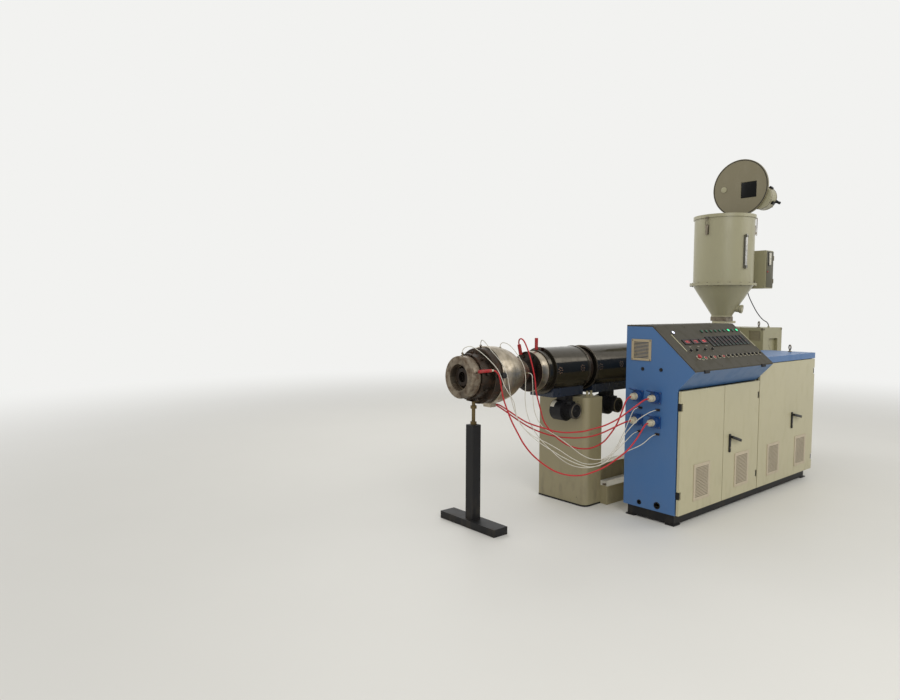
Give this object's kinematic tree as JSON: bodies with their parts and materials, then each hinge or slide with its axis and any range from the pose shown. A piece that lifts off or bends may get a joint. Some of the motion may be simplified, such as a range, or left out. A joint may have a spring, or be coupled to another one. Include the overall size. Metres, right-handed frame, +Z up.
{
  "type": "single-screw pipe extruder",
  "caption": "Single-screw extruder with pipe die head, covered barrel, operator cabinet with hinged doors and a hopper dryer.",
  "frame": {"origin": "middle of the footprint, on the floor", "axes": "+X along the barrel from the die to the drive, +Y from the operator's side into the machine, +Z up"},
  "size_m": [4.032, 1.313, 2.9099],
  "materials": {
    "black_paint": "satin",
    "cream_paint": "satin",
    "base_paint": "satin",
    "blue_paint": "satin",
    "hopper_paint": "satin",
    "panel_plate": "matt",
    "louvre_paint": "matt",
    "black_plastic": "gloss",
    "red_plastic": "gloss",
    "blue_plastic": "matt",
    "cream_plastic": "matt",
    "polished_cover": "polished",
    "turned_steel": "turned",
    "dark_steel": "oiled",
    "rusty_steel": "worn",
    "brass_nuts": "dull",
    "trough_paint": "gloss",
    "sight_glass": "clear",
    "red_cable": "soft",
    "white_cable": "soft",
    "black_cable": "soft"
  },
  "bodies": {
    "machine": {"cabinet_plinth": "black_paint", "cabinet_body": "cream_paint", "console_end_panel": "blue_paint", "console_shell": "blue_paint", "motor_section_top": "blue_paint", "control_panel": "panel_plate", "panel_trim_strips": "cream_paint", "panel_instruments": "black_plastic", "panel_switches": "black_plastic", "emergency_stop": "red_plastic", "panel_clips": "black_paint", "door_hinges": "black_paint", "end_vent_grille": "louvre_paint", "power_sockets": "blue_plastic", "power_plugs": "cream_plastic", "probe_sockets": "rusty_steel", "machine_base": "base_paint", "barrel_stand": "base_paint", "gearbox_cover": "cream_paint", "lifting_eye_bolts": "turned_steel", "barrel": "rusty_steel", "barrel_covers": "polished_cover", "barrel_trough": "trough_paint", "barrel_clamp_ring": "rusty_steel", "end_heater_band": "polished_cover", "barrel_flange": "dark_steel", "die_cone": "turned_steel", "die_ring": "rusty_steel", "die_bush": "rusty_steel", "die_mandrel": "dark_steel", "heater_terminal_covers": "red_plastic", "die_post": "black_paint", "jack_screw": "brass_nuts", "cooling_blowers": "black_paint", "feed_throat": "cream_paint", "slide_gate": "turned_steel", "hopper_cone": "hopper_paint", "hopper_cylinder": "hopper_paint", "sight_glass": "sight_glass", "dryer_control_box": "hopper_paint", "toggle_latches": "dark_steel", "heater_lead_sleeve": "red_cable", "heater_lead_cone_upper": "red_cable", "heater_lead_cone_lower": "red_cable", "heater_lead_flange": "red_cable", "probe_lead_face": "white_cable", "probe_lead_ring": "white_cable", "probe_lead_cone_top": "white_cable", "probe_lead_cone_side": "white_cable", "dryer_supply_lead": "black_cable"},
    "left_door": {"door_left": "cream_paint", "door_left_louvre": "louvre_paint"},
    "middle_door": {"door_mid": "cream_paint", "door_mid_louvre": "louvre_paint", "door_mid_handle": "black_plastic"},
    "right_door": {"door_right": "cream_paint", "door_right_louvres": "louvre_paint", "door_right_handle": "black_plastic"},
    "lid": {"hopper_lid": "hopper_paint", "lid_blower": "hopper_paint"}
  },
  "joints": [
    {"name": "left_door_hinge", "type": "hinge", "parent": "machine", "child": "left_door", "pos_m": [-0.875, -0.5465, 0.495], "axis": [0, 0, 1], "range_deg": [-110, 0]},
    {"name": "middle_door_hinge", "type": "hinge", "parent": "machine", "child": "middle_door", "pos_m": [0.204, -0.5465, 0.495], "axis": [0, 0, 1], "range_deg": [0, 90]},
    {"name": "right_door_hinge", "type": "hinge", "parent": "machine", "child": "right_door", "pos_m": [1.214, -0.5465, 0.555], "axis": [0, 0, 1], "range_deg": [0, 110]},
    {"name": "lid_hinge", "type": "hinge", "parent": "machine", "child": "lid", "pos_m": [1.636, 0.3515, 2.345], "axis": [0, 1, 0], "range_deg": [-90, 0]}
  ]
}
